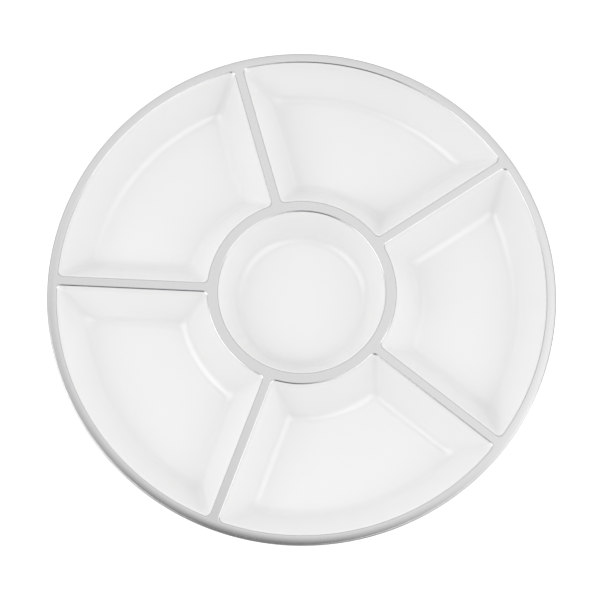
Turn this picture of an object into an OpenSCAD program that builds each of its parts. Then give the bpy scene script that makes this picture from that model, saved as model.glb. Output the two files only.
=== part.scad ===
// Chip and dip server: one moulded tray with equal compartments round a central dip well,
// and hot-stamped foil on its rim, its well ring and its dividers.
// The tray stands on the plane z = 0 with its axis on Z. The first divider lies 18 degrees from +X.

/* [Tray] */
// Outside diameter over the turned-down rim
tray_d = 304.8; // [240:0.1:406]
// Height from the table to the top of the foil
tray_h = 25.4; // [18:0.1:34]
// Number of outer compartments
compartments = 5; // [3:1:6]
// Wall thickness of the moulding, measured square to the wall
wall_t = 2; // [1.4:0.1:3]

/* [Rim] */
// Width of the flat ledge round the outside
rim_w = 5.5; // [4:0.1:12]
// Radius of the outer edge's turn-down, foil included
rim_edge_r = 1.4; // [1:0.1:4]
// Height of the lip's straight part below the turn-down
lip_h = 2.6; // [0.5:0.1:6]
// Thickness of the flat top and of the lip
plate_t = 1.8; // [1.2:0.1:2]

/* [Dip well] */
// Diameter of the dip well at its mouth
well_d = 100.6; // [80:0.1:124]
// Width of the flat ring between the well and the compartments
ring_w = 6.4; // [5:0.1:12]
// Lean of the well's wall away from upright, in degrees
well_lean = 24; // [10:1:36]

/* [Dividers] */
// Width of a divider's flat top
divider_w = 5.4; // [4.4:0.1:9]
// Direction of the first divider, in degrees from +X
first_divider = 18; // [0:1:72]

/* [Compartments] */
// Lean of the wall below the rim away from upright, in degrees
rim_lean = 36; // [20:1:42]
// Lean of the wall below the well ring away from upright, in degrees
ring_lean = 34; // [20:1:42]
// Lean of the walls below the dividers away from upright, in degrees
divider_lean = 33; // [20:1:42]
// Radius where a wall turns into the floor
fillet_r = 8; // [3:0.5:11]
// Plan radius of a compartment's corners at the foil
corner_r = 3; // [1:0.1:5]
// Plan radius of a compartment's corners at the floor
floor_corner_r = 5; // [2:0.1:8]

/* [Feet] */
// Height of the foot ridges under the floors
foot_h = 0.9; // [0.5:0.1:2]
// Width of the foot ridges
foot_w = 2; // [1:0.1:4]
// Distance of the foot ridges from the edge of the flat floor
foot_margin = 3; // [1:0.5:6]
// Diameter of the gate mark at the middle of the underside
gate_d = 9; // [4:0.5:14]

/* [Foil] */
// Thickness of the foil layer
foil_t = 0.3; // [0.1:0.05:0.5]

/* [Hidden] */

tray_r = tray_d / 2;
rim_inner_r = tray_r - rim_w;
well_r = well_d / 2;
ring_outer_r = well_r + ring_w;
pitch = 360 / compartments;

// Heights of the floors' upper face, of the plastic under the foil and of the turn-down's end;
// least radius on the inside of the turn-down
floor_z = foot_h + wall_t;
depth = tray_h - floor_z;
land_z = tray_h - foil_t;
edge_z = tray_h - rim_edge_r;
min_inside_r = 0.3;

// The rim and ring foils end and the divider foils begin just past the corner roundings
foil_overlap = 0.5;
corner_reach = divider_w / 2 + corner_r;
foil_out_r = norm([norm_leg(rim_inner_r - corner_r, corner_reach), divider_w / 2]) - foil_overlap;
foil_in_r = norm([norm_leg(ring_outer_r + corner_r, corner_reach), divider_w / 2]) + foil_overlap;

gate_h = foot_h / 2;
cut = 1;

// Segments along half a rim arc, half a ring arc, a plan corner, a floor fillet and the turn-down
rim_steps = 9;
ring_steps = 4;
corner_steps = 4;
fillet_steps = 5;
edge_steps = 8;
round_fn = 180;

plastic = "white";
silver = "silver";

// The remaining side of a right triangle
function norm_leg(long_side, side) = sqrt(long_side * long_side - side * side);

function divider_angle(k) = first_divider + (k - 1) * pitch;

function polar(r, a) = r * [cos(a), sin(a)];

// Points of an arc, both ends included
function arc(centre, r, from, to, steps) =
    [for (i = [0:steps]) centre + polar(r, from + (to - from) * i / steps)];

function slice(list, first, last) = [for (i = [first:last]) list[i]];

// Horizontal distance of a wall's face from its mouth, at the height h above the floor.
// The face leans by `lean`, then turns into the floor. `skin` is 0 for the upper face
// and the wall's thickness for the lower one.
function wall_run(h, lean, skin = 0) =
    let (
        r = fillet_r + skin,
        fillet_centre = depth * tan(lean) + fillet_r * tan((90 - lean) / 2)
    )
    h >= fillet_r - r * sin(lean)
        ? (depth - h) * tan(lean) - skin / cos(lean)
        : fillet_centre - r * cos(asin((fillet_r - h) / r));

// Heights above the floor at which a face is sampled, from its flat up to `top`
function wall_heights(top, lean, skin = 0) = concat(
    [for (i = [fillet_steps:-1:0])
        fillet_r - (fillet_r + skin) * sin(lean + (90 - lean) * i / fillet_steps)],
    [top]
);

// Plan outline of the compartment whose middle lies on +X, counter-clockwise, with its rim,
// ring and divider walls moved in by the three runs and its corners rounded to r
function compartment_outline(rim_run, ring_run, divider_run, r) =
    let (
        outer = rim_inner_r - rim_run,
        inner = ring_outer_r + ring_run,
        side = divider_w / 2 + divider_run + r,
        half = pitch / 2,
        outer_a = half - asin(side / (outer - r)),
        inner_a = half - asin(side / (inner + r)),
        rim_arc = arc([0, 0], outer, 0, outer_a, rim_steps),
        outer_corner = arc(polar(outer - r, outer_a), r, outer_a, half + 90, corner_steps),
        inner_corner = arc(polar(inner + r, inner_a), r, half + 90, inner_a + 180, corner_steps),
        ring_arc = arc([0, 0], inner, inner_a, 0, ring_steps),
        upper = concat(
            slice(rim_arc, 0, rim_steps - 1), outer_corner, inner_corner,
            slice(ring_arc, 1, ring_steps)
        ),
        last = len(upper) - 1
    )
    concat(upper, [for (i = [last - 1:-1:1]) [upper[i].x, -upper[i].y]]);

// Outline of a compartment's face at the height h above the floor
function face_outline(h, skin = 0) = compartment_outline(
    wall_run(h, rim_lean, skin),
    wall_run(h, ring_lean, skin),
    wall_run(h, divider_lean, skin),
    corner_r + (floor_corner_r - corner_r) * (1 - h / depth) + skin
);

// Solid through a stack of outlines that have the same number of points
module loft(outlines, heights) {
    n = len(outlines[0]);
    top = len(outlines) - 1;
    polyhedron(
        points = [for (i = [0:top]) for (p = outlines[i]) [p.x, p.y, heights[i]]],
        faces = concat(
            [[for (j = [0:n - 1]) j]],
            [[for (j = [n - 1:-1:0]) top * n + j]],
            [for (i = [0:top - 1]) for (j = [0:n - 1])
                [i * n + j, (i + 1) * n + j, (i + 1) * n + (j + 1) % n]],
            [for (i = [0:top - 1]) for (j = [0:n - 1])
                [i * n + j, (i + 1) * n + (j + 1) % n, i * n + (j + 1) % n]]
        )
    );
}

// Space of one compartment, or with `skin` the solid that its walls and floor fill from below
module compartment_body(top, skin = 0) {
    heights = wall_heights(top, divider_lean, skin);
    loft([for (h = heights) face_outline(h, skin)], [for (h = heights) floor_z + h]);
}

// Space of the dip well, or with `skin` the solid that its wall and floor fill from below
module well_body(top, skin = 0) {
    heights = wall_heights(top, well_lean, skin);
    rotate_extrude($fn = round_fn)
        polygon(concat(
            [[0, floor_z + heights[0]]],
            [for (h = heights) [well_r - wall_run(h, well_lean, skin), floor_z + h]],
            [[0, floor_z + top]]
        ));
}

module at_compartments() {
    for (k = [1:compartments])
        rotate(divider_angle(k) + pitch / 2)
            children();
}

module annulus(inner, outer) {
    difference() {
        circle(r = outer, $fn = round_fn);
        circle(r = inner, $fn = round_fn);
    }
}

// Points of a face that lies `inset` below the foil's outer face: round the turn-down, then down the lip
function edge_face(inset) =
    let (r = max(rim_edge_r - inset, min_inside_r))
    concat(
        arc([tray_r - inset - r, tray_h - inset - r], r, 90, 0, edge_steps),
        [[tray_r - inset, edge_z - lip_h]]
    );

// Section of a layer that runs out flat from x = from, turns down at the edge and ends as a lip.
// `outside` and `inside` are how far its two faces lie below the foil's outer face.
module rim_section(from, outside, inside) {
    inner = edge_face(inside);
    polygon(concat(
        [[from, tray_h - inside], [from, tray_h - outside]],
        edge_face(outside),
        [for (i = [len(inner) - 1:-1:0]) inner[i]]
    ));
}

// The flat plate that all walls hang from, and its turned-down lip
module top_plate() {
    rotate_extrude($fn = round_fn)
        rim_section(0, foil_t, foil_t + plate_t);
}

// A ridge under each compartment's floor, a ring under the well and the gate mark
module feet() {
    ridge_r = rim_inner_r - wall_run(0, rim_lean) - foot_margin;
    ring_r = well_r - wall_run(0, well_lean) - foot_margin;
    ridge_h = foot_h + wall_t / 2;
    at_compartments()
        linear_extrude(ridge_h)
            intersection() {
                annulus(ridge_r - foot_w, ridge_r);
                polygon(compartment_outline(
                    wall_run(0, rim_lean), wall_run(0, ring_lean),
                    wall_run(0, divider_lean) + foot_margin, floor_corner_r
                ));
            }
    linear_extrude(ridge_h)
        annulus(ring_r - foot_w, ring_r);
    translate([0, 0, foot_h - gate_h])
        cylinder(d = gate_d, h = gate_h + wall_t / 2, $fn = round_fn);
}

// Mouths of all compartments, cut straight through the foil layer
module mouths() {
    at_compartments()
        translate([0, 0, land_z - cut])
            linear_extrude(foil_t + 2 * cut)
                polygon(compartment_outline(0, 0, 0, corner_r));
}

module tray_moulding() {
    under_plate = depth - foil_t - plate_t / 2;
    color(plastic)
        difference() {
            union() {
                top_plate();
                at_compartments()
                    compartment_body(under_plate, wall_t);
                well_body(under_plate, wall_t);
                feet();
            }
            at_compartments()
                compartment_body(depth + cut);
            well_body(depth + cut);
        }
}

// Flat foil on the rim, its corner roundings, and the wrap down the lip
module rim_foil() {
    color(silver)
        difference() {
            rotate_extrude($fn = round_fn)
                rim_section(foil_out_r, 0, foil_t);
            mouths();
        }
}

module well_ring_foil() {
    color(silver)
        difference() {
            translate([0, 0, land_z])
                linear_extrude(foil_t)
                    annulus(well_r, foil_in_r);
            mouths();
        }
}

module divider_foil(k) {
    color(silver)
        rotate(divider_angle(k))
            translate([0, 0, land_z])
                linear_extrude(foil_t)
                    intersection() {
                        annulus(foil_in_r, foil_out_r);
                        translate([0, -divider_w / 2])
                            square([tray_r, divider_w]);
                    }
}

tray_moulding();
rim_foil();
well_ring_foil();
for (k = [1:compartments])
    divider_foil(k);
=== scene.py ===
"""Chip and dip server: a glossy white moulded tray with silver foil on its rim, well ring and dividers.

The tray is drawn in millimetres, outline by outline, and brought to metres at the end.
"""

import logging
import math
from collections.abc import Callable, Sequence
from dataclasses import dataclass
from enum import Enum

import bmesh
import bpy
from mathutils import Matrix, Vector


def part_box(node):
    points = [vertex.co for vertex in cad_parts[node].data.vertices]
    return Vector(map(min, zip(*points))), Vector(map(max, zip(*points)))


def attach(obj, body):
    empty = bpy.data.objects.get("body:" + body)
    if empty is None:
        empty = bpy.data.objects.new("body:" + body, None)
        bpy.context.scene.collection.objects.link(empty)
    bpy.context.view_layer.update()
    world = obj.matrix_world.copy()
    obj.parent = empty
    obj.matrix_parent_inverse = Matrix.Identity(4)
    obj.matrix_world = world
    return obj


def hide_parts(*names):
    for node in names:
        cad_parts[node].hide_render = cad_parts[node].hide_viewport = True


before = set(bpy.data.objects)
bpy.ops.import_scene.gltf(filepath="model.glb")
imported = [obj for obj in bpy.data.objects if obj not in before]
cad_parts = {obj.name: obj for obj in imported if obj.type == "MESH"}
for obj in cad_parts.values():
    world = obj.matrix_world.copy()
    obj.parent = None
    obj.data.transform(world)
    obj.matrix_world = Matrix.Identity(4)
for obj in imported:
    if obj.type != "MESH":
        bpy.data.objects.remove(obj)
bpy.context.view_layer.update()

MM = 0.001
LOG = logging.getLogger("server")
SMOOTH_ANGLE = math.radians(40)
LEVEL_TOLERANCE = 1e-4

Outline = list[Vector]
Level = tuple[Outline, float]


# ---------------------------------------------------------------- sizes


class Wall(Enum):
    """The walls that lead down from the tray's flat top."""

    RIM = "rim"
    RING = "ring"
    DIVIDER = "divider"
    WELL = "well"


@dataclass(frozen=True)
class TraySizes:
    """Sizes of the tray in millimetres; the mouths are measured where a wall would meet the flat top."""

    radius: float
    height: float
    compartments: int = 5
    first_divider: float = math.radians(18)
    wall: float = 2.0
    ledge: float = 5.5
    crown_width: float = 4.3
    crown_radius: float = 39.0
    crown_tilt: float = math.radians(5.5)
    crown_steps: int = 6
    turn_steps: int = 14
    lip: float = 4.0
    lip_round: float = 0.5
    well_radius: float = 50.3
    ring_width: float = 6.4
    divider_width: float = 5.4
    rim_lean: float = math.radians(36)
    ring_lean: float = math.radians(34)
    divider_lean: float = math.radians(33)
    well_lean: float = math.radians(24)
    shoulder: float = 0.9
    root: float = 0.8
    fillet: float = 8.0
    corner: float = 3.0
    floor_corner: float = 5.0
    foot_height: float = 0.9
    foot_width: float = 2.0
    foot_margin: float = 3.0
    foot_edge: float = 0.3
    foot_corner: float = 0.8
    gate_radius: float = 4.5
    foil: float = 0.06
    foil_seat: float = 0.08
    plate: float = 1.8
    margin: float = 0.25

    @property
    def pitch(self) -> float:
        """Angle from one divider to the next."""
        return 2 * math.pi / self.compartments

    @property
    def floor(self) -> float:
        """Height of the floors' upper face."""
        return self.foot_height + self.wall

    @property
    def depth(self) -> float:
        """Depth of a compartment from the flat top to its floor."""
        return self.height - self.floor

    @property
    def rim_inner(self) -> float:
        """Radius of the compartments' mouths at the rim."""
        return self.radius - self.ledge

    @property
    def ring_outer(self) -> float:
        """Radius of the compartments' mouths at the well's ring."""
        return self.well_radius + self.ring_width

    @property
    def crown_start(self) -> float:
        """Radius at which the ledge begins to fall towards its edge."""
        return self.radius - self.crown_width

    @property
    def plate_under(self) -> float:
        """Height of the lower face of the flat top's plate."""
        return self.height - self.plate - self.foil_seat

    @property
    def gate_height(self) -> float:
        """Height of the gate mark's flat above the table."""
        return self.foot_height / 2

    @property
    def floor_margin(self) -> float:
        """How far an upper face runs on over the floor before the floor is filled."""
        return 4 * self.margin

    def edge_section(self, inset: float) -> list[tuple[float, float]]:
        """The ledge's outer part in section: a slight crown, and the turn-down to the lip.

        Args:
            inset: how far the face lies inside the foil's outer face.

        Returns:
            Radii and heights, from where the crown begins to the top of the lip.
        """
        crown, tilt = self.crown_radius, self.crown_tilt
        join = self.crown_start + crown * math.sin(tilt)
        turn = (self.radius - join) / (1 - math.sin(tilt))
        turn_x = join - turn * math.sin(tilt)
        turn_z = self.height - crown * (1 - math.cos(tilt)) - turn * math.cos(tilt)
        section = [
            (
                self.crown_start + (crown - inset) * math.sin(angle),
                self.height - crown + (crown - inset) * math.cos(angle),
            )
            for angle in spread(0, tilt, self.crown_steps)
        ]
        section += [
            (turn_x + (turn - inset) * math.sin(angle), turn_z + (turn - inset) * math.cos(angle))
            for angle in spread(tilt, math.pi / 2, self.turn_steps)[1:]
        ]
        return section

    def lean(self, wall: Wall) -> float:
        """How far a wall leans away from upright.

        Args:
            wall: which wall.

        Returns:
            The angle from upright.
        """
        return {
            Wall.RIM: self.rim_lean,
            Wall.RING: self.ring_lean,
            Wall.DIVIDER: self.divider_lean,
            Wall.WELL: self.well_lean,
        }[wall]


@dataclass(frozen=True)
class WallProfile:
    """The run of a wall in from its mouth, as a function of height above the floor."""

    sizes: TraySizes
    wall: Wall

    @property
    def lean(self) -> float:
        """How far this wall leans away from upright."""
        return self.sizes.lean(self.wall)

    def shoulder_start(self) -> float:
        """How far outside the mouth the rounded shoulder begins."""
        return self.sizes.shoulder * math.tan((math.pi / 2 - self.lean) / 2)

    def fillet_centre(self) -> float:
        """Run at which the floor's fillet has become the floor."""
        lean = self.lean
        return self.sizes.depth * math.tan(lean) + self.sizes.fillet * math.tan((math.pi / 2 - lean) / 2)

    def drops(self, inset: float, steps: int) -> list[float]:
        """Depths of the levels on the shoulder, from the flat top down.

        Args:
            inset: how far the face lies inside the foil's outer face.
            steps: how many steps lead down the shoulder.

        Returns:
            The depths below the flat top's own level.
        """
        radius = self.sizes.shoulder - inset
        angles = spread(0, math.pi / 2 - self.lean, steps)
        return [self.sizes.shoulder - radius * math.cos(angle) for angle in angles]

    def shoulder_run(self, drop: float, inset: float) -> float:
        """Run on the shoulder.

        Args:
            drop: depth below the flat top's own level.
            inset: how far the face lies inside the foil's outer face.

        Returns:
            The run, negative outside the mouth.
        """
        radius = self.sizes.shoulder - inset
        rise = min(radius, self.sizes.shoulder - drop)
        return math.sqrt(max(0.0, radius * radius - rise * rise)) - self.shoulder_start()

    def face_run(self, height: float, skin: float = 0.0) -> float:
        """Run on the wall and on the fillet below it.

        Args:
            height: height above the floor's upper face.
            skin: 0 for the upper face, the wall's thickness for the lower one.

        Returns:
            The run in from the mouth.
        """
        fillet, lean = self.sizes.fillet, self.lean
        radius = fillet + skin
        if height >= fillet - radius * math.sin(lean):
            return (self.sizes.depth - height) * math.tan(lean) - skin / math.cos(lean)
        rise = min(1.0, (fillet - height) / radius)
        return self.fillet_centre() - radius * math.cos(math.asin(rise))

    def root_run(self, height: float) -> float:
        """Run on the small rounding where a wall's lower face meets the plate.

        Args:
            height: height above the floor's upper face.

        Returns:
            The run in from the mouth.
        """
        sizes = self.sizes
        centre_height = sizes.plate_under - sizes.floor - sizes.root
        centre = self.face_run(centre_height, sizes.wall) - sizes.root / math.cos(self.lean)
        rise = height - centre_height
        if rise <= sizes.root * math.sin(self.lean):
            return self.face_run(height, sizes.wall)
        return centre + math.sqrt(max(0.0, sizes.root**2 - rise**2))


@dataclass(frozen=True)
class SectorPlan:
    """Draws the outlines of a wedge-shaped compartment whose middle lies on +X."""

    sizes: TraySizes
    rim_steps: int = 36
    ring_steps: int = 14
    corner_steps: int = 10

    def outline(self, outer: float, inner: float, side: float, corner: float) -> Outline:
        """One closed outline, counter-clockwise, with the same number of points whatever its sizes.

        Args:
            outer: radius of the side next to the rim.
            inner: radius of the side next to the well.
            side: distance of the straight sides from the dividers' middle lines.
            corner: radius of the corners.

        Returns:
            The outline's points at height 0.
        """
        half = self.sizes.pitch / 2
        outer_angle = half - math.asin((side + corner) / (outer - corner))
        inner_angle = half - math.asin((side + corner) / (inner + corner))
        turn = half + math.pi / 2
        upper = arc(Vector(), outer, 0, outer_angle, self.rim_steps)[:-1]
        steps = self.corner_steps
        upper += arc(polar(outer - corner, outer_angle), corner, outer_angle, turn, steps)
        upper += arc(polar(inner + corner, inner_angle), corner, turn, inner_angle + math.pi, steps)
        upper += arc(Vector(), inner, inner_angle, 0, self.ring_steps)[1:]
        return upper + [Vector((point.x, -point.y, 0)) for point in reversed(upper[1:-1])]

    def face(self, run: Callable[[WallProfile], float], corner: float) -> Outline:
        """Outline of a compartment's face where its walls have come in by their runs.

        Args:
            run: gives a wall's run from its profile.
            corner: radius of the corners.

        Returns:
            The outline's points at height 0.
        """
        sizes = self.sizes
        rim, well_ring, divider = (
            run(WallProfile(sizes, wall)) for wall in (Wall.RIM, Wall.RING, Wall.DIVIDER)
        )
        side = sizes.divider_width / 2 + divider
        return self.outline(sizes.rim_inner - rim, sizes.ring_outer + well_ring, side, corner)

    def wall_corner(self, height: float) -> float:
        """Radius of a compartment's corners at a height above the floor."""
        sizes = self.sizes
        return sizes.corner + (sizes.floor_corner - sizes.corner) * (1 - height / sizes.depth)


# ---------------------------------------------------------------- drawing


def polar(radius: float, angle: float) -> Vector:
    """The point at a radius and an angle in plan."""
    return Vector((radius * math.cos(angle), radius * math.sin(angle), 0))


def arc(centre: Vector, radius: float, start: float, end: float, steps: int) -> Outline:
    """Points along an arc, both ends included."""
    return [centre + polar(radius, start + (end - start) * i / steps) for i in range(steps + 1)]


def ring(radius: float, steps: int) -> Outline:
    """Points round a full circle."""
    return arc(Vector(), radius, 0, 2 * math.pi, steps)[:-1]


def spread(start: float, end: float, steps: int) -> list[float]:
    """Evenly spread values, both ends included."""
    return [start + (end - start) * i / steps for i in range(steps + 1)]


class Skin:
    """A sheet drawn as one outline and pulled out of it, level by level."""

    SEAT = "seat"

    def __init__(self, name: str, outline: Outline, height: float) -> None:
        """Adds a circle with a point for each of the outline's and lays it on the outline.

        Args:
            name: the object's name.
            outline: the first outline.
            height: its height.
        """
        bpy.ops.object.select_all(action="DESELECT")
        bpy.ops.mesh.primitive_circle_add(vertices=len(outline), radius=outline[0].length)
        self.piece = bpy.context.active_object
        self.piece.name = self.piece.data.name = name
        self.count = len(outline)
        bpy.ops.object.mode_set(mode="EDIT")
        mesh = bmesh.from_edit_mesh(self.piece.data)
        seats = mesh.verts.layers.int.new(self.SEAT)
        for point in mesh.verts:
            point[seats] = point.index
        self._lay(outline, height)

    def _lay(self, outline: Outline, height: float) -> None:
        """Moves the selected points to their seats on an outline.

        Args:
            outline: the outline.
            height: its height.
        """
        mesh = bmesh.from_edit_mesh(self.piece.data)
        seats = mesh.verts.layers.int[self.SEAT]
        for point in mesh.verts:
            if point.select:
                seat = outline[point[seats]]
                point.co = (seat.x, seat.y, height + seat.z)
        bmesh.update_edit_mesh(self.piece.data)

    def pull(self, levels: Sequence[Level]) -> "Skin":
        """Extrudes the selected edges to each level in turn.

        Args:
            levels: outlines and their heights.

        Returns:
            This skin.
        """
        for outline, height in levels:
            bpy.ops.mesh.extrude_region()
            self._lay(outline, height)
        return self

    def leave(self, open_seats: set[tuple[int, int]]) -> "Skin":
        """Takes the edges between the given pairs of seats out of the selection.

        Args:
            open_seats: the pairs, where the sheet's end is left as it is.

        Returns:
            This skin.
        """
        bpy.ops.mesh.select_mode(type="EDGE")
        mesh = bmesh.from_edit_mesh(self.piece.data)
        seats = mesh.verts.layers.int[self.SEAT]
        for edge in mesh.edges:
            pair = tuple(sorted(point[seats] for point in edge.verts))
            if pair in open_seats:
                edge.select_set(False)
        mesh.select_flush_mode()
        bmesh.update_edit_mesh(self.piece.data)
        return self

    def repeat(self, sizes: TraySizes) -> "Skin":
        """Sets the skin round the tray, once for each compartment.

        Args:
            sizes: the tray's sizes.

        Returns:
            This skin.
        """
        bpy.ops.mesh.select_all(action="SELECT")
        turn_selected(sizes.first_divider + sizes.pitch / 2)
        steps = sizes.compartments - 1
        bpy.ops.mesh.spin(
            steps=steps, dupli=True, angle=sizes.pitch * steps, center=(0, 0, 0), axis=(0, 0, 1)
        )
        return self

    def done(self) -> bpy.types.Object:
        """Leaves edit mode and gives the object."""
        bpy.ops.object.mode_set(mode="OBJECT")
        return self.piece


def pick(piece: bpy.types.Object) -> None:
    """Selects one object alone and makes it active.

    Args:
        piece: the object.
    """
    bpy.ops.object.select_all(action="DESELECT")
    piece.select_set(True)
    bpy.context.view_layer.objects.active = piece


def turn_selected(angle: float) -> None:
    """Turns what is selected in edit mode about the tray's axis.

    Args:
        angle: how far it turns.
    """
    mesh = bmesh.from_edit_mesh(bpy.context.active_object.data)
    bmesh.ops.rotate(
        mesh,
        cent=(0, 0, 0),
        matrix=Matrix.Rotation(angle, 3, "Z"),
        verts=[point for point in mesh.verts if point.select],
    )
    bmesh.update_edit_mesh(bpy.context.active_object.data)


def join(name: str, parts: Sequence[bpy.types.Object]) -> bpy.types.Object:
    """Joins sheets into one object.

    Args:
        name: the new object's name.
        parts: the sheets.

    Returns:
        The joined object.
    """
    bpy.ops.object.select_all(action="DESELECT")
    for part in parts:
        part.select_set(True)
    bpy.context.view_layer.objects.active = parts[0]
    bpy.ops.object.join()
    piece = bpy.context.active_object
    piece.name = piece.data.name = name
    return piece


def close_level(piece: bpy.types.Object, height: float) -> None:
    """Fills the flat between all open outlines that lie at one height.

    Args:
        piece: the object.
        height: the height, in the object's own units.
    """
    bpy.context.view_layer.objects.active = piece
    bpy.ops.object.mode_set(mode="EDIT")
    bpy.ops.mesh.select_mode(type="EDGE")
    bpy.ops.mesh.select_all(action="DESELECT")
    mesh = bmesh.from_edit_mesh(piece.data)
    for edge in mesh.edges:
        level = all(abs(point.co.z - height) < LEVEL_TOLERANCE for point in edge.verts)
        edge.select_set(level and len(edge.link_faces) < 2)
    bmesh.update_edit_mesh(piece.data)
    bpy.ops.mesh.fill()
    bpy.ops.object.mode_set(mode="OBJECT")


def finish_mesh(piece: bpy.types.Object) -> None:
    """Turns all faces outwards, brings the piece from millimetres to metres and smooths it.

    Args:
        piece: the object.
    """
    pick(piece)
    bpy.ops.object.mode_set(mode="EDIT")
    bpy.ops.mesh.select_all(action="SELECT")
    bpy.ops.mesh.normals_make_consistent(inside=False)
    bpy.ops.transform.resize(value=(MM, MM, MM), center_override=(0, 0, 0))
    bpy.ops.object.mode_set(mode="OBJECT")
    piece.data.attributes.remove(piece.data.attributes[Skin.SEAT])
    bpy.ops.object.shade_smooth_by_angle(angle=SMOOTH_ANGLE)


# ---------------------------------------------------------------- finishes


class Signal:
    """A shader value that takes part in plain arithmetic."""

    def __init__(self, graph: "NodeGraph", socket: bpy.types.NodeSocket) -> None:
        """Wraps a node's output socket."""
        self.graph = graph
        self.socket = socket

    def _with(self, operation: str, first: "Signal | float", second: "Signal | float") -> "Signal":
        """Adds a Math node for one operation."""
        node = self.graph.node("ShaderNodeMath", {"operation": operation}, {0: first, 1: second})
        return Signal(self.graph, node.outputs[0])

    def __add__(self, other: "Signal | float") -> "Signal":
        """self + other"""
        return self._with("ADD", self, other)

    def __radd__(self, other: float) -> "Signal":
        """other + self"""
        return self._with("ADD", other, self)

    def __sub__(self, other: "Signal | float") -> "Signal":
        """self - other"""
        return self._with("SUBTRACT", self, other)

    def __rsub__(self, other: float) -> "Signal":
        """other - self"""
        return self._with("SUBTRACT", other, self)

    def __mul__(self, other: "Signal | float") -> "Signal":
        """self * other"""
        return self._with("MULTIPLY", self, other)

    def __rmul__(self, other: float) -> "Signal":
        """other * self"""
        return self._with("MULTIPLY", other, self)

    def __truediv__(self, other: "Signal | float") -> "Signal":
        """self / other"""
        return self._with("DIVIDE", self, other)

    def __rtruediv__(self, other: float) -> "Signal":
        """other / self"""
        return self._with("DIVIDE", other, self)


class NodeGraph:
    """A node tree whose nodes are written as expressions."""

    def __init__(self, tree: bpy.types.NodeTree) -> None:
        """Empties the tree."""
        self.tree = tree
        self.tree.nodes.clear()

    def node(
        self,
        kind: str,
        settings: dict[str, object] | None = None,
        inputs: dict[str | int, object] | None = None,
    ) -> bpy.types.Node:
        """Adds a node.

        Args:
            kind: the node's type.
            settings: its properties, set first.
            inputs: values or links for its sockets.

        Returns:
            The node.
        """
        node = self.tree.nodes.new(kind)
        for key, value in (settings or {}).items():
            if key == "ramp":
                self._set_ramp(node, value)
            else:
                setattr(node, key, value)
        for key, value in (inputs or {}).items():
            self.feed(node.inputs[key], value)
        return node

    @staticmethod
    def _set_ramp(node: bpy.types.Node, stops: Sequence[tuple[float, float]]) -> None:
        """Sets a grey ramp's stops.

        Args:
            node: the ramp's node.
            stops: two or more positions with their values.
        """
        elements = node.color_ramp.elements
        while len(elements) < len(stops):
            elements.new(1.0)
        for element, (position, value) in zip(elements, stops):
            element.position = position
            element.color = (value, value, value, 1)

    def feed(self, socket: bpy.types.NodeSocket, value: object) -> None:
        """Links or sets one input socket.

        Args:
            socket: the input.
            value: a signal or an output to link, or a value.
        """
        if isinstance(value, Signal):
            value = value.socket
        if isinstance(value, bpy.types.NodeSocket):
            self.tree.links.new(value, socket)
        else:
            socket.default_value = value

    def signal(
        self,
        kind: str,
        settings: dict[str, object] | None = None,
        inputs: dict[str | int, object] | None = None,
        output: int | str = 0,
    ) -> Signal:
        """Adds a node and gives one of its outputs.

        Args:
            kind: the node's type.
            settings: its properties.
            inputs: values or links for its sockets.
            output: the output's number or name.

        Returns:
            The output.
        """
        return Signal(self, self.node(kind, settings, inputs).outputs[output])

    def axes(self, place: Signal) -> tuple[Signal, Signal, Signal]:
        """The three coordinates of a point."""
        split = self.node("ShaderNodeSeparateXYZ", {}, {0: place})
        return Signal(self, split.outputs[0]), Signal(self, split.outputs[1]), Signal(self, split.outputs[2])

    def ramp(self, value: Signal, stops: Sequence[tuple[float, float]]) -> Signal:
        """A value looked up on a ramp of positions and values."""
        return self.signal("ShaderNodeValToRGB", {"ramp": stops}, {"Fac": value})

    def fade(self, value: Signal, start: float, end: float) -> Signal:
        """1 up to a start, falling to 0 at an end."""
        return self.ramp(value, [(start, 1), (end, 0)])

    def rise(self, value: Signal, start: float, end: float) -> Signal:
        """0 up to a start, rising to 1 at an end."""
        return self.ramp(value, [(start, 0), (end, 1)])

    def turn_of(self, x: Signal, y: Signal) -> Signal:
        """The angle of a point in plan, from -pi to pi."""
        return self.signal("ShaderNodeMath", {"operation": "ARCTAN2"}, {0: y, 1: x})


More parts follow.
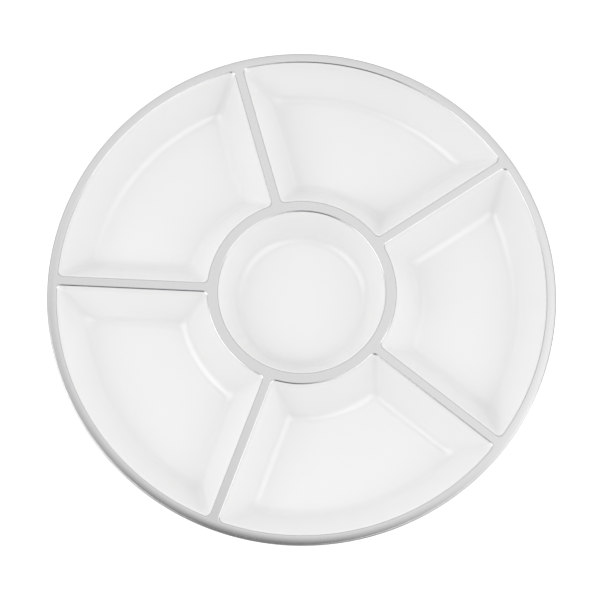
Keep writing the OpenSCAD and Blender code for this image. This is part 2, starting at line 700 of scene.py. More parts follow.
class Shader(NodeGraph):
    """A material with one Principled shader."""

    def __init__(self, name: str) -> None:
        """Makes the material.

        Args:
            name: its name.
        """
        self.material = bpy.data.materials.new(name)
        self.material.use_nodes = True
        super().__init__(self.material.node_tree)
        self.surface = self.node("ShaderNodeBsdfPrincipled")
        self.output = self.node("ShaderNodeOutputMaterial", inputs={"Surface": self.surface.outputs[0]})

    def dress(self, **inputs: object) -> bpy.types.Material:
        """Sets the Principled shader's sockets; an underscore stands for a space.

        Args:
            inputs: socket names in title case with their values or links.

        Returns:
            The material.
        """
        for key, value in inputs.items():
            self.feed(self.surface.inputs[key.replace("_", " ")], value)
        return self.material

    def place(self) -> Signal:
        """The point on the object, in metres."""
        return self.signal("ShaderNodeTexCoord", output="Object")

    def noise(self, place: Signal, scale: float, detail: float = 2.0, roughness: float = 0.5) -> Signal:
        """Smooth noise from 0 to 1 with `scale` features to a metre."""
        inputs = {"Vector": place, "Scale": scale, "Detail": detail, "Roughness": roughness}
        return self.signal("ShaderNodeTexNoise", {}, inputs)

    def between(self, factor: Signal, first: tuple[float, ...], second: tuple[float, ...]) -> Signal:
        """A colour between two colours.

        Args:
            factor: 0 for the first colour, 1 for the second.
            first: the first colour.
            second: the second colour.

        Returns:
            The colour.
        """
        node = self.node("ShaderNodeMix", {"data_type": "RGBA"}, {"Factor": factor})
        self.feed(node.inputs[6], (*first, 1))
        self.feed(node.inputs[7], (*second, 1))
        return Signal(self, node.outputs[2])

    def bump(self, height: Signal, distance: float, under: Signal | None = None) -> Signal:
        """A normal that follows a height, on top of another bump.

        Args:
            height: the height, from 0 to 1.
            distance: how many metres a height of 1 stands for.
            under: another bump's normal.

        Returns:
            The normal.
        """
        inputs: dict[str | int, object] = {"Height": height, "Distance": distance}
        if under is not None:
            inputs["Normal"] = under
        return self.signal("ShaderNodeBump", {}, inputs)


@dataclass(frozen=True)
class WhitePolystyrene:
    """Glossy white polystyrene with the faint waviness and haze of a moulded wall."""

    light: tuple[float, float, float] = (0.955, 0.955, 0.95)
    shade: tuple[float, float, float] = (0.94, 0.94, 0.936)
    flow_scale: float = 14.0
    gloss: float = 0.13
    haze: float = 0.08
    haze_scale: float = 60.0
    haze_reach: tuple[float, float] = (0.35, 0.75)
    refraction: float = 1.59
    wave: float = 0.00012
    wave_scale: float = 22.0
    grain: float = 0.0000015
    grain_scale: float = 1400.0

    def material(self) -> bpy.types.Material:
        """The finish as a material.

        Returns:
            The material.
        """
        shader = Shader("white_polystyrene")
        place = shader.place()
        flow = shader.noise(place, self.flow_scale, 3)
        haze = shader.rise(shader.noise(place, self.haze_scale, 4, 0.6), *self.haze_reach)
        grain = shader.bump(shader.noise(place, self.grain_scale, 2), self.grain)
        return shader.dress(
            Base_Color=shader.between(flow, self.shade, self.light),
            Roughness=self.gloss + haze * self.haze,
            IOR=self.refraction,
            Normal=shader.bump(shader.noise(place, self.wave_scale, 1, 0.3), self.wave, grain),
        )


class Lay(Enum):
    """The way the foil's faint grain runs."""

    ROUND = "round"
    ALONG = "along"


@dataclass(frozen=True)
class SilverFoil:
    """Hot-stamped silver foil: bright, slightly hazy, with a faint grain from the stamp."""

    lay: Lay
    bright: tuple[float, float, float] = (0.915, 0.915, 0.92)
    dull: tuple[float, float, float] = (0.855, 0.855, 0.86)
    gloss: float = 0.14
    haze: float = 0.09
    cloud_scale: float = 45.0
    cloud_share: float = 0.4
    pit_scale: float = 900.0
    pit_reach: tuple[float, float] = (0.62, 0.74)
    pit_haze: float = 0.08
    grain: float = 0.000004
    round_grain: tuple[float, float] = (2200.0, 6.0)
    straight_grain: tuple[float, float] = (35.0, 700.0)

    def material(self) -> bpy.types.Material:
        """The finish as a material.

        Returns:
            The material.
        """
        shader = Shader(f"silver_foil_{self.lay.value}")
        place = shader.place()
        streaks = shader.noise(self._stretched_place(shader, place), 1.0, 3, 0.6)
        cloud = shader.noise(place, self.cloud_scale, 3)
        pits = shader.rise(shader.noise(place, self.pit_scale, 2, 0.7), *self.pit_reach)
        tone = streaks * (1 - self.cloud_share) + cloud * self.cloud_share
        return shader.dress(
            Base_Color=shader.between(tone, self.dull, self.bright),
            Metallic=1.0,
            Roughness=self.gloss + tone * self.haze + pits * self.pit_haze,
            Normal=shader.bump(streaks, self.grain),
        )

    def _stretched_place(self, shader: Shader, place: Signal) -> Signal:
        """Polar coordinates about the tray's axis, long along the grain and short across it.

        Args:
            shader: the material's graph.
            place: the point on the object.

        Returns:
            The radius and the angle, each stretched by its own factor.
        """
        x, y, _ = shader.axes(place)
        radius = shader.signal("ShaderNodeVectorMath", {"operation": "LENGTH"}, {0: place}, "Value")
        across, along = self.round_grain if self.lay is Lay.ROUND else self.straight_grain
        turn = shader.turn_of(x, y)
        return shader.signal("ShaderNodeCombineXYZ", {}, {0: radius * across, 1: turn * along})


# ---------------------------------------------------------------- the tray


@dataclass(frozen=True)
class TrayMoulding:
    """The white moulding: compartments, dip well, flat top, turned-down edge and the hollow underside."""

    sizes: TraySizes
    finish: WhitePolystyrene
    round_steps: int = 288
    well_steps: int = 180
    shoulder_steps: int = 5
    wall_steps: int = 6
    fillet_steps: int = 12
    root_steps: int = 4
    blend_steps: int = 4
    foot_steps: int = 3
    gate_steps: int = 64

    @property
    def plan(self) -> SectorPlan:
        """The compartments' plan."""
        return SectorPlan(self.sizes)

    def build(self) -> bpy.types.Object:
        """Draws every skin, closes the flats between them and dresses the piece.

        Returns:
            The tray.
        """
        sizes = self.sizes
        parts = [
            self._compartments(),
            self._undersides(),
            self._ridges(),
            self._well(),
            self._well_underside(),
            self._turned_edge(),
            *self._well_feet(),
            self._gate_mark(),
        ]
        piece = join("tray", parts)
        levels = [
            sizes.height - sizes.foil_seat,
            sizes.floor,
            sizes.plate_under,
            sizes.foot_height,
            sizes.gate_height,
            0.0,
        ]
        for height in levels:
            close_level(piece, height)
        finish_mesh(piece)
        piece.data.materials.append(self.finish.material())
        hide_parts("tray_moulding")
        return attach(piece, "root")

    def _face_heights(self, lean: float, top: float, skin: float = 0.0) -> list[float]:
        """Heights above the floor of the levels on a wall and its fillet.

        Args:
            lean: how far the wall leans away from upright.
            top: height of the top of the wall.
            skin: 0 for the upper face, the wall's thickness for the lower one.

        Returns:
            The heights, from the top of the wall down.
        """
        radius = self.sizes.fillet + skin
        foot = self.sizes.fillet - radius * math.sin(lean)
        walls = spread(top, foot, self.wall_steps)[:-1]
        sweep = spread(lean, math.pi / 2, self.fillet_steps)
        return walls + [self.sizes.fillet - radius * math.sin(angle) for angle in sweep]

    def _root_heights(self, lean: float) -> list[float]:
        """Heights above the floor of the levels on the small rounding under the plate.

        Args:
            lean: how far the wall leans away from upright.

        Returns:
            The heights, from the plate down.
        """
        sizes = self.sizes
        plate = sizes.plate_under - sizes.floor
        sweep = spread(math.pi / 2, lean, self.root_steps)
        return [plate - sizes.root * (1 - math.sin(angle)) for angle in sweep]

    def _compartments(self) -> bpy.types.Object:
        """The upper faces of all compartments, from the flat top over the shoulder to the floor.

        Returns:
            The sheet.
        """
        sizes, plan = self.sizes, self.plan
        top = sizes.height - sizes.foil_seat
        corner = sizes.corner + 2 * sizes.margin
        start = plan.face(lambda profile: -profile.shoulder_start() - sizes.margin, corner)
        levels: list[Level] = []
        drops = WallProfile(sizes, Wall.DIVIDER).drops(sizes.foil_seat, self.shoulder_steps)
        for drop in drops:
            runs = plan.face(lambda profile: profile.shoulder_run(drop, sizes.foil_seat), sizes.corner)
            levels.append((runs, sizes.height - drop))
        wall_top = sizes.depth - drops[-1] - sizes.foil_seat
        for height in self._face_heights(sizes.divider_lean, wall_top):
            runs = plan.face(lambda profile: profile.face_run(height), plan.wall_corner(height))
            levels.append((runs, sizes.floor + height))
        corner = sizes.floor_corner - sizes.floor_margin
        inner = plan.face(lambda profile: profile.face_run(0) + sizes.floor_margin, corner)
        levels.append((inner, sizes.floor))
        return Skin("compartments", start, top).pull(levels).repeat(sizes).done()

    def _undersides(self) -> bpy.types.Object:
        """The lower faces of all compartments, from the plate to the floors' undersides.

        Returns:
            The sheet.
        """
        sizes, plan, wall = self.sizes, self.plan, self.sizes.wall
        corner = sizes.corner + wall
        roots = self._root_heights(sizes.divider_lean)
        start = plan.face(lambda profile: profile.root_run(roots[0]) - sizes.margin, corner)
        levels: list[Level] = []
        for height in roots:
            runs = plan.face(lambda profile: profile.root_run(height), corner)
            levels.append((runs, sizes.floor + height))
        top = roots[-1] - sizes.margin
        for height in self._face_heights(sizes.divider_lean, top, wall):
            runs = plan.face(lambda profile: profile.face_run(height, wall), plan.wall_corner(height) + wall)
            levels.append((runs, sizes.floor + height))
        margin = sizes.floor_margin
        inner = plan.face(lambda profile: profile.face_run(-wall, wall) + margin, sizes.floor_corner)
        levels.append((inner, sizes.foot_height))
        return Skin("undersides", start, sizes.plate_under).pull(levels).repeat(sizes).done()

    def _foot_levels(self, shape: Callable[[float], Outline]) -> list[Level]:
        """Levels of a foot's side and rounded edge.

        Args:
            shape: gives the foot's outline from how far it is moved in.

        Returns:
            The levels, down to the table.
        """
        edge = self.sizes.foot_edge
        levels = [(shape(0.0), edge)]
        for angle in spread(0, math.pi / 2, self.foot_steps)[1:]:
            levels.append((shape(edge * (1 - math.cos(angle))), edge * (1 - math.sin(angle))))
        return levels

    def _ridges(self) -> bpy.types.Object:
        """The low ridges that the compartments stand on.

        Returns:
            The sheet.
        """
        sizes, plan = self.sizes, self.plan
        outer = sizes.rim_inner - WallProfile(sizes, Wall.RIM).face_run(0) - sizes.foot_margin
        side = sizes.divider_width / 2 + WallProfile(sizes, Wall.DIVIDER).face_run(0) + sizes.foot_margin

        def shape(inset: float) -> Outline:
            """The ridge's outline, moved in by an inset."""
            inner = outer - sizes.foot_width
            return plan.outline(outer - inset, inner + inset, side + inset, sizes.foot_corner - inset)

        ridge = Skin("ridges", shape(0.0), sizes.foot_height)
        return ridge.pull(self._foot_levels(shape)).repeat(sizes).done()

    def _well_circle(self, run: float) -> Outline:
        """The well's outline where its wall has come in by a run."""
        return ring(self.sizes.well_radius - run, self.well_steps)

    def _well(self) -> bpy.types.Object:
        """The dip well's upper face.

        Returns:
            The sheet.
        """
        sizes, circle = self.sizes, self._well_circle
        wall = WallProfile(sizes, Wall.WELL)
        start = circle(-wall.shoulder_start() - sizes.margin)
        drops = wall.drops(sizes.foil_seat, self.shoulder_steps)
        levels: list[Level] = []
        for drop in drops:
            levels.append((circle(wall.shoulder_run(drop, sizes.foil_seat)), sizes.height - drop))
        top = sizes.depth - drops[-1] - sizes.foil_seat
        for height in self._face_heights(sizes.well_lean, top):
            levels.append((circle(wall.face_run(height)), sizes.floor + height))
        levels.append((circle(wall.face_run(0) + sizes.floor_margin), sizes.floor))
        return Skin("well", start, sizes.height - sizes.foil_seat).pull(levels).done()

    def _well_underside(self) -> bpy.types.Object:
        """The dip well's lower face.

        Returns:
            The sheet.
        """
        sizes, circle = self.sizes, self._well_circle
        wall = WallProfile(sizes, Wall.WELL)
        roots = self._root_heights(sizes.well_lean)
        start = circle(wall.root_run(roots[0]) - sizes.margin)
        levels = [(circle(wall.root_run(height)), sizes.floor + height) for height in roots]
        for height in self._face_heights(sizes.well_lean, roots[-1] - sizes.margin, sizes.wall):
            levels.append((circle(wall.face_run(height, sizes.wall)), sizes.floor + height))
        last = wall.face_run(-sizes.wall, sizes.wall) + sizes.floor_margin
        levels.append((circle(last), sizes.foot_height))
        return Skin("well_underside", start, sizes.plate_under).pull(levels).done()

    def _well_feet(self) -> list[bpy.types.Object]:
        """The two sides of the ring that the well stands on.

        Returns:
            The outer and the inner side, as sheets.
        """
        sizes = self.sizes
        outer = sizes.well_radius - WallProfile(sizes, Wall.WELL).face_run(0) - sizes.foot_margin
        inner = outer - sizes.foot_width
        sides = []
        for name, radius, way in (("foot_outer", outer, -1), ("foot_inner", inner, 1)):

            def shape(inset: float) -> Outline:
                """The side's outline, moved into the ring by an inset."""
                return ring(radius + way * inset, self.well_steps)

            sides.append(Skin(name, shape(0.0), sizes.foot_height).pull(self._foot_levels(shape)).done())
        return sides

    def _gate_mark(self) -> bpy.types.Object:
        """The round gate mark in the middle of the underside.

        Returns:
            The sheet.
        """
        sizes, steps = self.sizes, self.gate_steps
        edge = sizes.foot_edge
        levels = [
            (ring(sizes.gate_radius - edge / 3, steps), sizes.gate_height + edge / 3),
            (ring(sizes.gate_radius - edge, steps), sizes.gate_height),
        ]
        return Skin("gate_mark", ring(sizes.gate_radius, steps), sizes.foot_height).pull(levels).done()

    def _turned_edge(self) -> bpy.types.Object:
        """The tray's outer edge: out over the turn-down, down the lip and back up inside it.

        Returns:
            The sheet.
        """
        sizes = self.sizes
        outer = sizes.radius - sizes.foil_seat
        inner = outer - sizes.plate
        blend = sizes.lip_round
        tip = sizes.height - sizes.lip
        section = sizes.edge_section(sizes.foil_seat)
        for angle in spread(0, math.pi, 2 * self.blend_steps):
            side = outer - blend if angle <= math.pi / 2 else inner + blend
            section.append((side + blend * math.cos(angle), tip + blend - blend * math.sin(angle)))
        corner = sizes.plate_under - blend
        section += [
            (inner - blend + blend * math.cos(angle), corner + blend * math.sin(angle))
            for angle in spread(0, math.pi / 2, self.blend_steps)
        ]
        section.append((inner - blend - sizes.margin, sizes.plate_under))
        levels = [(ring(radius, self.round_steps), height) for radius, height in section]
        start = ring(sizes.crown_start - sizes.margin, self.round_steps)
        return Skin("turned_edge", start, sizes.height - sizes.foil_seat).pull(levels).done()


# ---------------------------------------------------------------- the foil


@dataclass(frozen=True)
class FoilCut:
    """Where the foil is divided: straight across each divider, just past the corner roundings."""

    sizes: TraySizes
    past: float = 0.5

    def _reach(self, leg: float) -> float:
        """Distance along a divider of the end of a corner rounding."""
        side = self.sizes.divider_width / 2 + self.sizes.corner
        return math.sqrt(leg * leg - side * side)

    @property
    def outer(self) -> float:
        """Distance along a divider of the cut next to the rim."""
        return self._reach(self.sizes.rim_inner - self.sizes.corner) - self.past

    @property
    def inner(self) -> float:
        """Distance along a divider of the cut next to the well's ring."""
        return self._reach(self.sizes.ring_outer + self.sizes.corner) + self.past


@dataclass(frozen=True)
class FoilEdge:
    """The foil's edge along the mouths of all compartments, on one side of the cuts."""

    sizes: TraySizes
    outer_side: bool
    steps: int = 6

    @property
    def _cut(self) -> float:
        """Distance along a divider of this side's cut."""
        cut = FoilCut(self.sizes)
        return cut.outer if self.outer_side else cut.inner

    def loop(self, run: Callable[[WallProfile], float], corner: float) -> Outline:
        """One closed outline along the mouths and straight across the dividers at the cuts.

        Args:
            run: gives a wall's run from its profile.
            corner: radius of the corners.

        Returns:
            The outline's points, with the same number for each compartment.
        """
        sizes = self.sizes
        plan = SectorPlan(sizes)
        full = plan.face(run, corner)
        last = plan.rim_steps + plan.corner_steps
        if self.outer_side:
            upper = full[: last + 1]
            lower = full[-last:]
            middle = lower + upper
        else:
            middle = full[last + 1 : len(full) - last]
            middle.reverse()
        side = sizes.divider_width / 2 + run(WallProfile(sizes, Wall.DIVIDER))
        half_pitch = sizes.pitch / 2
        end = Matrix.Rotation(half_pitch, 3, "Z") @ Vector((self._cut, -side, 0))
        middle = [Vector((end.x, -end.y, 0)), *middle, end]
        points: Outline = []
        for number in range(sizes.compartments):
            turn = Matrix.Rotation(sizes.first_divider + sizes.pitch * (number + 0.5), 3, "Z")
            points += [turn @ point for point in middle]
        return points

    def open_seats(self) -> set[tuple[int, int]]:
        """The pairs of seats on either side of each cut.

        Returns:
            The pairs, the lower seat first.
        """
        count = len(self.loop(lambda profile: 0.0, self.sizes.corner))
        each = count // self.sizes.compartments
        pairs = {(i * each - 1, i * each) for i in range(1, self.sizes.compartments)}
        return pairs | {(0, count - 1)}

    def draw(self, name: str) -> bpy.types.Object:
        """Draws the sheet from a margin on the flat top over the shoulder, open at the cuts.

        Args:
            name: the object's name.

        Returns:
            The sheet.
        """
        sizes = self.sizes
        corner = sizes.corner + 2 * sizes.margin
        start = self.loop(lambda profile: -profile.shoulder_start() - sizes.margin, corner)
        levels: list[Level] = []
        for drop in WallProfile(sizes, Wall.DIVIDER).drops(0.0, self.steps):
            runs = self.loop(lambda profile: profile.shoulder_run(drop, 0.0), sizes.corner)
            levels.append((runs, sizes.height - drop))
        return Skin(name, start, sizes.height).leave(self.open_seats()).pull(levels).done()


@dataclass(frozen=True)
class Foil:
    """What all foil pieces share: how a drawn sheet becomes a thin closed layer with its finish."""

    sizes: TraySizes
    finish: bpy.types.Material

    def thicken(self, piece: bpy.types.Object) -> bpy.types.Object:
        """Thickens a sheet downwards, finishes its mesh and dresses it.

        Args:
            piece: the sheet, in millimetres.

        Returns:
            The closed layer, in metres.
        """
        pick(piece)
        bpy.ops.object.mode_set(mode="EDIT")
        bpy.ops.mesh.select_all(action="SELECT")
        bpy.ops.mesh.normals_make_consistent(inside=False)
        mesh = bmesh.from_edit_mesh(piece.data)
        if sum(face.normal.z * face.calc_area() for face in mesh.faces) < 0:
            bpy.ops.mesh.flip_normals()
        bpy.ops.object.mode_set(mode="OBJECT")
        solid = piece.modifiers.new("thickness", "SOLIDIFY")
        solid.thickness = self.sizes.foil
        solid.offset = -1
        solid.use_even_offset = True
        bpy.ops.object.modifier_apply(modifier=solid.name)
        finish_mesh(piece)
        piece.data.materials.append(self.finish)
        return piece

    def settle(self, piece: bpy.types.Object, node: str) -> bpy.types.Object:
        """Puts a layer in the frame, in place of a CAD node.

        Args:
            piece: the layer.
            node: the CAD node that it replaces.

        Returns:
            The layer.
        """
        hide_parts(node)
        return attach(piece, "root")


@dataclass(frozen=True)
class RimFoil(Foil):
    """The foil on the flat ledge, wrapped over the turned-down edge and down its lip."""

    round_steps: int = 288

    def build(self) -> bpy.types.Object:
        """Draws the inner edge and the turned-down edge, fills the ledge between them and dresses it.

        Returns:
            The rim's foil.
        """
        sizes = self.sizes
        start = ring(sizes.crown_start - sizes.margin, self.round_steps)
        levels = [(ring(radius, self.round_steps), height) for radius, height in sizes.edge_section(0.0)]
        levels.append((ring(sizes.radius, self.round_steps), sizes.height - sizes.lip + sizes.lip_round))
        roll = Skin("roll", start, sizes.height).pull(levels).done()
        piece = join("rim_foil_layer", [FoilEdge(sizes, True).draw("rim_edge"), roll])
        close_level(piece, sizes.height)
        return self.settle(self.thicken(piece), "rim_foil")


@dataclass(frozen=True)
class WellRingFoil(Foil):
    """The foil on the flat ring round the dip well."""

    round_steps: int = 180
    steps: int = 6

    def build(self) -> bpy.types.Object:
        """Draws the ring's two edges, fills the flat between them and dresses it.

        Returns:
            The ring's foil.
        """
        sizes = self.sizes
        wall = WallProfile(sizes, Wall.WELL)
        start = ring(sizes.well_radius + wall.shoulder_start() + sizes.margin, self.round_steps)
        levels: list[Level] = []
        for drop in wall.drops(0.0, self.steps):
            radius = sizes.well_radius - wall.shoulder_run(drop, 0.0)
            levels.append((ring(radius, self.round_steps), sizes.height - drop))
        edge = Skin("well_edge", start, sizes.height).pull(levels).done()
        piece = join("well_ring_foil_layer", [FoilEdge(sizes, False).draw("ring_edge"), edge])
        close_level(piece, sizes.height)
        return self.settle(self.thicken(piece), "well_ring_foil")


@dataclass(frozen=True)
class DividerFoils(Foil):
    """The foil strips on the dividers' flat tops: one strip, copied."""

    steps: int = 6

    def build(self) -> list[bpy.types.Object]:
        """Draws one strip, copies it for the other dividers and turns each onto its own.

        Returns:
            The strips, in the order of the dividers.
        """
        sizes = self.sizes
        strip = self.thicken(self._strip())
        strips = [strip, *(self._copy(strip) for _ in range(sizes.compartments - 1))]
        for number, piece in enumerate(strips):
            piece.name = piece.data.name = f"divider_foil_layer_{number + 1}"
            self._turn(piece, sizes.first_divider + number * sizes.pitch)
            self.settle(piece, f"divider_foil_{number + 1}")
        return strips

    def _strip(self) -> bpy.types.Object:
        """A strip along +X with rounded shoulders on its long sides.

        Returns:
            The sheet.
        """
        sizes = self.sizes
        cut = FoilCut(sizes)
        wall = WallProfile(sizes, Wall.DIVIDER)

        def corners(half: float) -> Outline:
            """The strip's four corners.

            Args:
                half: half of its width.

            Returns:
                The corners, counter-clockwise.
            """
            return [
                Vector((cut.inner, -half, 0)),
                Vector((cut.outer, -half, 0)),
                Vector((cut.outer, half, 0)),
                Vector((cut.inner, half, 0)),
            ]

        half = sizes.divider_width / 2
        skin = Skin("strip", corners(half - wall.shoulder_start() - sizes.margin), sizes.height)
        bpy.ops.mesh.edge_face_add()
        levels: list[Level] = []
        for drop in wall.drops(0.0, self.steps):
            levels.append((corners(half + wall.shoulder_run(drop, 0.0)), sizes.height - drop))
        self._long_edges_only()
        return skin.pull(levels).done()

    @staticmethod
    def _copy(strip: bpy.types.Object) -> bpy.types.Object:
        """A copy of the strip with a mesh of its own.

        Args:
            strip: the strip.

        Returns:
            The copy.
        """
        pick(strip)
        bpy.ops.object.duplicate()
        return bpy.context.active_object

    @staticmethod
    def _turn(piece: bpy.types.Object, angle: float) -> None:
        """Turns a strip's mesh about the tray's axis.

        Args:
            piece: the strip.
            angle: how far it turns.
        """
        pick(piece)
        bpy.ops.object.mode_set(mode="EDIT")
        bpy.ops.mesh.select_all(action="SELECT")
        turn_selected(angle)
        bpy.ops.object.mode_set(mode="OBJECT")

    @staticmethod
    def _long_edges_only() -> None:
        """Leaves only the strip's long edges selected."""
        bpy.ops.mesh.select_mode(type="EDGE")
        bpy.ops.mesh.select_all(action="DESELECT")
        mesh = bmesh.from_edit_mesh(bpy.context.active_object.data)
        for edge in mesh.edges:
            ends = edge.verts[1].co - edge.verts[0].co
            edge.select_set(abs(ends.x) > abs(ends.y))
        bmesh.update_edit_mesh(bpy.context.active_object.data)


# ---------------------------------------------------------------- the studio


@dataclass(frozen=True)
class Softbox:
    """A rectangular soft light that looks at the tray."""

    name: str
    azimuth: float
    elevation: float
    distance: float
    size: tuple[float, float]
    power: float
    gleam_only: bool = False

    def build(self, aim: Vector, gleaming: bpy.types.Collection) -> None:
        """Adds the light.

        Args:
            aim: the point that it looks at.
            gleaming: what a light that only adds gleam shines on.
        """
        flat = math.cos(self.elevation)
        away = Vector(
            (math.cos(self.azimuth) * flat, math.sin(self.azimuth) * flat, math.sin(self.elevation))
        )
        light = bpy.data.lights.new(self.name, "AREA")
        light.shape = "RECTANGLE"
        light.size, light.size_y = self.size
        light.energy = self.power
        lamp = bpy.data.objects.new(self.name, light)
        bpy.context.scene.collection.objects.link(lamp)
        lamp.location = aim + away * self.distance
        lamp.rotation_euler = away.to_track_quat("Z", "Y").to_euler()
        if self.gleam_only:
            lamp.visible_diffuse = False
            lamp.light_linking.receiver_collection = gleaming


@dataclass(frozen=True)
class Patch:
    """A soft patch of the tent overhead, dimmer or brighter than the rest, on a plane one metre up."""

    middle: tuple[float, float]
    half_size: tuple[float, float]
    gain: float
    even: float = 0.4
    lowest: float = 0.05

    def factor(self, sky: NodeGraph, axes: tuple[Signal, Signal, Signal]) -> Signal:
        """What the tent's glow is multiplied by.

        Args:
            sky: the world's graph.
            axes: the direction, with X towards the tent's opening.

        Returns:
            1 outside the patch and 1 + gain in its even middle.
        """
        x, y, z = axes
        raised = sky.signal("ShaderNodeMath", {"operation": "MAXIMUM"}, {0: z, 1: self.lowest})
        across = (x / raised - self.middle[0]) * (1 / self.half_size[0])
        along = (y / raised - self.middle[1]) * (1 / self.half_size[1])
        away = sky.signal("ShaderNodeMath", {"operation": "SQRT"}, {0: across * across + along * along})
        return 1 + sky.fade(away, self.even, 1.0) * self.gain


@dataclass(frozen=True)
class Studio:
    """The plain pale floor, the soft light and the camera."""

    sizes: TraySizes
    turn: float = math.radians(-17.2)
    elevation: float = math.radians(74.67)
    distance: float = 1.212
    lens: float = 121.44
    tilt: float = math.radians(-0.246)
    pan: float = math.radians(0.051)
    roll: float = math.radians(1.79)
    opening: float = math.radians(258 - 17.2)
    floor_size: float = 12.0
    floor_glow: float = 0.42
    glow: float = 1.165
    tent: tuple[tuple[float, float], ...] = (
        (0.0, 0.95),
        (0.25, 0.8),
        (0.75, 0.58),
        (0.93, 0.69),
        (1.0, 0.69),
    )
    gap: float = 0.85
    gap_half_turn: tuple[float, float] = (0.08, 0.14)
    gap_top: tuple[float, float] = (0.8, 0.97)
    side_turn: tuple[float, float] = (0.36, 0.64)
    side_fall: float = 0.1
    flank_turn: tuple[float, float, float] = (0.25, 0.5, 0.75)
    side_glow: float = 0.25
    low_top: float = 0.75
    low_shade: float = 0.5
    shade_top: tuple[float, float] = (0.45, 0.85)
    patches: tuple[Patch, ...] = (
        Patch((0.125, -0.03), (0.275, 0.52), -0.82),
        Patch((-0.067, -0.303), (0.22, 0.22), -0.3),
        Patch((-0.27, 0.21), (0.2, 0.2), 0.24),
        Patch((0.01, 0.37), (0.17, 0.17), -0.5),
    )

    @property
    def centre(self) -> Vector:
        """The middle of the tray's flat top, in metres."""
        return Vector((0, 0, self.sizes.height * MM))

    def build(self, tray: bpy.types.Object) -> None:
        """Sets up the floor, the lights, the surroundings and the camera round the tray.

        Args:
            tray: the white moulding.
        """
        self._floor()
        self._surroundings()
        self._lights(tray)
        self._camera()
        bpy.context.scene.view_settings.view_transform = "Standard"

    def _floor(self) -> None:
        """A large floor: pale to look at, but throwing little light back onto the tray."""
        bpy.ops.object.select_all(action="DESELECT")
        bpy.ops.mesh.primitive_plane_add(size=self.floor_size)
        floor = bpy.context.active_object
        floor.name = "floor"
        shader = Shader("floor")
        tone = shader.noise(shader.place(), 3, 2)
        shader.dress(
            Base_Color=shader.between(tone, (0.9, 0.9, 0.9), (0.92, 0.92, 0.92)),
            Roughness=0.9,
            Emission_Color=(1, 1, 1, 1),
            Emission_Strength=self.floor_glow,
        )
        # Painted light: every ray but the camera's sees the floor as a plain grey glow. Diffuse rays get mid
        # grey, standing in for the floor's bounce light. Glossy rays get dark grey, a painted dark
        # reflection in the foil's turned edge and the plastic.
        mirrored = shader.signal("ShaderNodeLightPath", output="Is Glossy Ray")
        back = shader.between(mirrored, (0.62, 0.615, 0.61), (0.32, 0.315, 0.31))
        shade = shader.node("ShaderNodeEmission", {}, {"Color": back})
        seen = shader.signal("ShaderNodeLightPath", output="Is Camera Ray")
        faces = {0: seen, 1: shade.outputs[0], 2: shader.surface.outputs[0]}
        mix = shader.node("ShaderNodeMixShader", {}, faces)
        shader.feed(shader.output.inputs["Surface"], mix.outputs[0])
        floor.data.materials.append(shader.material)

    def _surroundings(self) -> None:
        """A light tent round the tray that is plain white to look at, and dimmer low down in mirrors."""
        world = bpy.data.worlds.new("studio")
        bpy.context.scene.world = world
        world.use_nodes = True
        sky = NodeGraph(world.node_tree)
        towards = sky.signal("ShaderNodeTexCoord", output="Generated")
        turning = {"Vector": towards, "Angle": -self.opening}
        turned = sky.signal("ShaderNodeVectorRotate", {"rotation_type": "Z_AXIS"}, turning)
        axes = sky.axes(turned)
        mirrored = sky.signal("ShaderNodeLightPath", output="Is Glossy Ray")
        shade = mirrored * sky.fade(axes[2], *self.shade_top) * self.low_shade
        glow = self._tent(sky, axes) * (1 - shade)
        lit = sky.node("ShaderNodeBackground", {}, {"Color": glow})
        plain = sky.node("ShaderNodeBackground", {}, {"Color": (1, 1, 1, 1)})
        seen = sky.signal("ShaderNodeLightPath", output="Is Camera Ray")
        mix = sky.node("ShaderNodeMixShader", {}, {0: seen, 1: lit.outputs[0], 2: plain.outputs[0]})
        sky.node("ShaderNodeOutputWorld", {}, {"Surface": mix.outputs[0]})

    def _tent(self, sky: NodeGraph, axes: tuple[Signal, Signal, Signal]) -> Signal:
        """The tent's glow: dark where it opens in front, brighter at the flanks, patched overhead.

        Args:
            sky: the world's graph.
            axes: the direction, with X towards the tent's opening.

        Returns:
            The glow.
        """
        x, y, z = axes
        turn = sky.turn_of(x, y)
        away = sky.signal("ShaderNodeMath", {"operation": "ABSOLUTE"}, {0: turn}) * (1 / math.pi)
        low = 1 - sky.rise(z, 0.0, self.low_top)
        start, middle, end = self.flank_turn
        flank = sky.ramp(away, [(start, 0), (middle, 1), (end, 0)]) * self.side_glow
        front = sky.fade(away, *self.side_turn) * self.side_fall
        glow = sky.ramp(z, self.tent) * self.glow + low * (flank - front)
        gap = sky.fade(away, *self.gap_half_turn) * sky.fade(z, *self.gap_top)
        glow = glow * (1 - gap * self.gap)
        for patch in self.patches:
            glow = glow * patch.factor(sky, axes)
        return glow

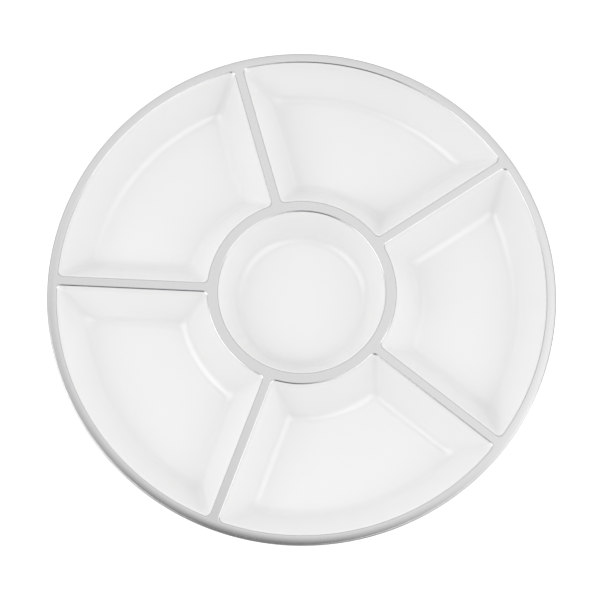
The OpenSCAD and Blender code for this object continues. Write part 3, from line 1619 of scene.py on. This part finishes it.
    def _lights(self, tray: bpy.types.Object) -> None:
        """Soft lights left and right of the camera, each with a larger one that adds gleam.

        Args:
            tray: the white moulding, which alone is given the gleam.
        """
        gleaming = bpy.data.collections.new("gleaming")
        gleaming.objects.link(tray)
        for name, azimuth, elevation, distance, size, power, gleam_only in (
            ("right", 328, 47, 1.3, (1.0, 1.0), 3.3, False),
            ("left", 200, 45, 1.3, (0.9, 0.9), 3.7, False),
            ("right_gleam", 335, 52, 1.35, (1.6, 1.4), 4.0, True),
            ("left_gleam", 193, 47, 1.35, (1.3, 1.3), 2.6, True),
        ):
            facing = math.radians(azimuth) + self.turn
            box = Softbox(name, facing, math.radians(elevation), distance, size, power, gleam_only)
            box.build(self.centre, gleaming)

    def _camera(self) -> None:
        """The camera, nearly overhead."""
        flat = math.cos(self.elevation)
        back = Vector((math.sin(self.turn) * flat, -math.cos(self.turn) * flat, math.sin(self.elevation)))
        right = Vector((math.cos(self.turn), math.sin(self.turn), 0))
        up = back.cross(right)
        facing = Matrix((right, up, back)).transposed()
        aimed = (
            facing
            @ Matrix.Rotation(self.roll, 3, "Z")
            @ Matrix.Rotation(self.tilt, 3, "X")
            @ Matrix.Rotation(self.pan, 3, "Y")
        )
        data = bpy.data.cameras.new("camera")
        data.lens = self.lens
        data.sensor_width = 36
        camera = bpy.data.objects.new("camera", data)
        bpy.context.scene.collection.objects.link(camera)
        camera.matrix_world = Matrix.Translation(self.centre + back * self.distance) @ aimed.to_4x4()
        bpy.context.scene.camera = camera


# ---------------------------------------------------------------- making


def main() -> None:
    """Builds the tray, its foil and the studio."""
    logging.basicConfig(level=logging.INFO, format="%(name)s: %(message)s")
    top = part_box("rim_foil")[1]
    sizes = TraySizes(radius=top.x / MM, height=top.z / MM)
    round_foil = SilverFoil(Lay.ROUND).material()
    pieces = [
        TrayMoulding(sizes, WhitePolystyrene()).build(),
        RimFoil(sizes, round_foil).build(),
        WellRingFoil(sizes, round_foil).build(),
        *DividerFoils(sizes, SilverFoil(Lay.ALONG).material()).build(),
    ]
    for piece in pieces:
        LOG.info("%s: %d faces", piece.name, len(piece.data.polygons))
    Studio(sizes).build(pieces[0])


if __name__ == "__main__":
    main()
